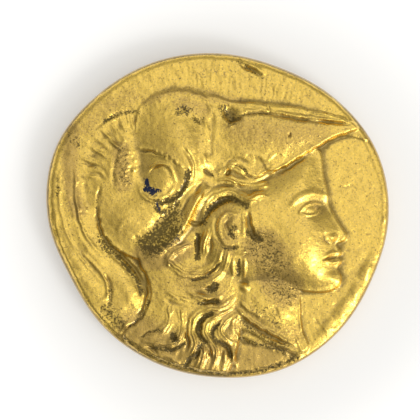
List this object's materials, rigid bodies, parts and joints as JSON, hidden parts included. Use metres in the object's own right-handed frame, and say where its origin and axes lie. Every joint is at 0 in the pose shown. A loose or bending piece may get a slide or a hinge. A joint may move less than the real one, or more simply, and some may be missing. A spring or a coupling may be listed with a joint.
{
  "type": "stater coin",
  "caption": "Hand-struck gold coin with a helmeted head in high relief, an uneven round outline and a worn standing figure on the back.",
  "frame": {"origin": "middle of the outline, on the plane that the coin lies on", "axes": "+Z out of the obverse, with the helmeted head; +Y towards the top of the helmet; +X the way the head looks"},
  "size_m": [0.0184, 0.0174, 0.0027],
  "materials": {
    "gold": null
  },
  "bodies": {
    "root": {"stater": "gold"}
  },
  "joints": []
}
